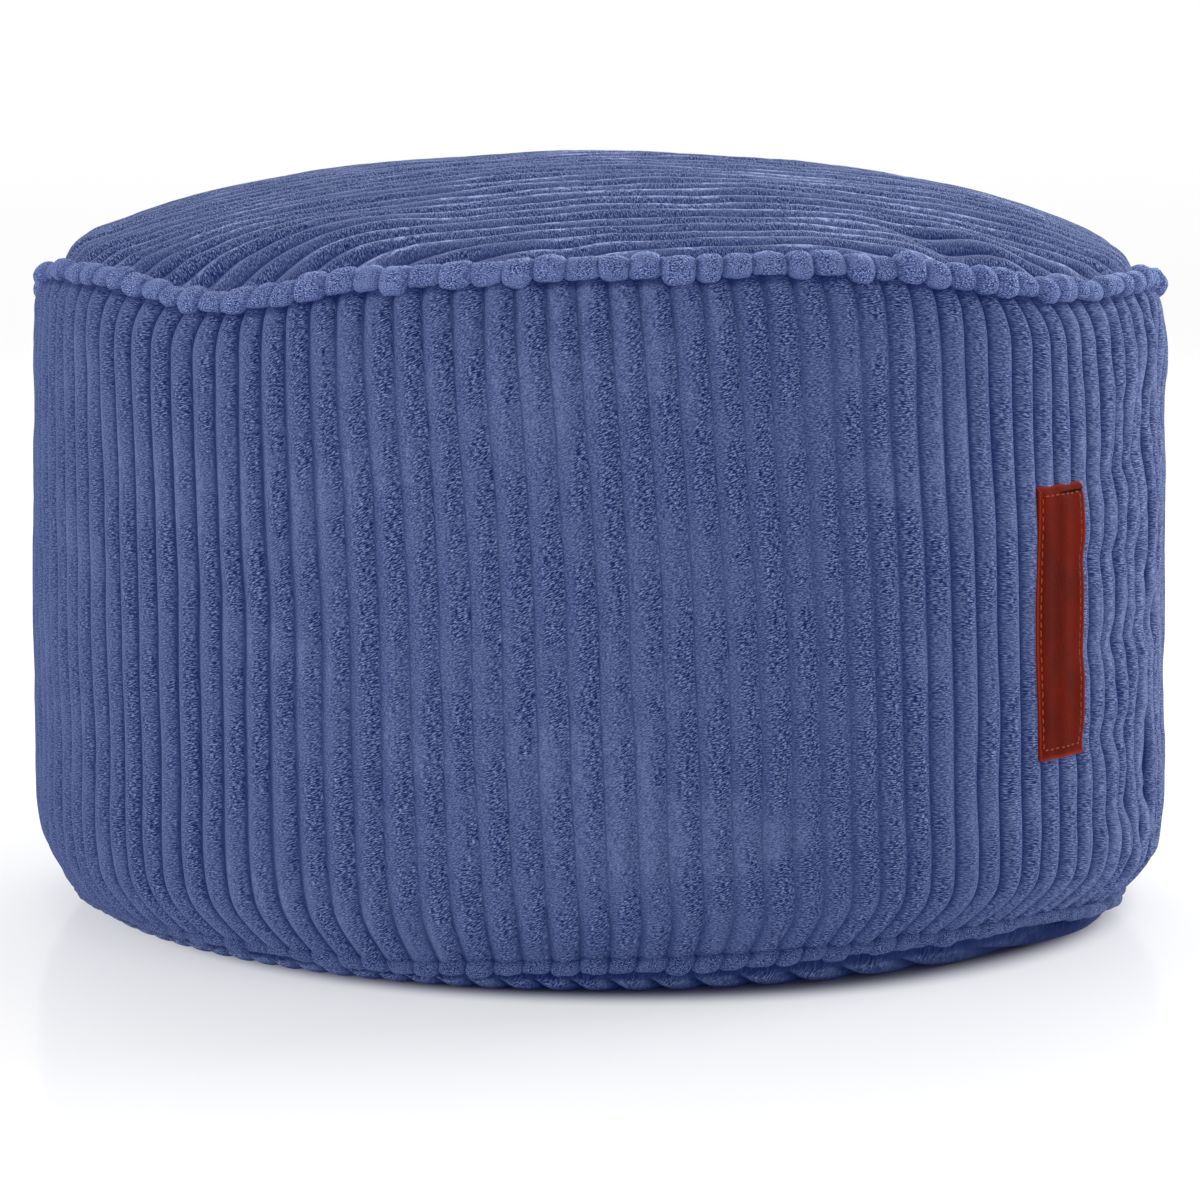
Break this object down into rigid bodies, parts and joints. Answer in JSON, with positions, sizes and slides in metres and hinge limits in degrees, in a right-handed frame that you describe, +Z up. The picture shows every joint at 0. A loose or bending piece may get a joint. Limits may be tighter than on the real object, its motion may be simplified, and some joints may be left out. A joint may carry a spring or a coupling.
{
  "type": "round corduroy bean bag footstool",
  "caption": "Low round footstool: a filled corduroy drum with a crowned top, beaded piping in both seams and a leather label on its side.",
  "frame": {"origin": "middle of the flat foot, on the surface that it rests on", "axes": "+Z up through the middle of the stool, -Y the front that the picture shows, +X to its right, where the label is"},
  "size_m": [0.5015, 0.5036, 0.3295],
  "materials": {
    "corduroy": "wide-wale corduroy, dense short pile, matt with a soft bloom at its edges",
    "corduroy_piping": "the same corduroy, cut across its wales and sewn into the seam as beads",
    "leather": "smooth red-brown leather, satin, sewn down with orange thread"
  },
  "bodies": {
    "root": {"side_panel": "corduroy", "top_panel": "corduroy", "bottom_panel": "corduroy", "top_piping": "corduroy_piping", "bottom_piping": "corduroy_piping", "label": "leather"}
  },
  "joints": []
}
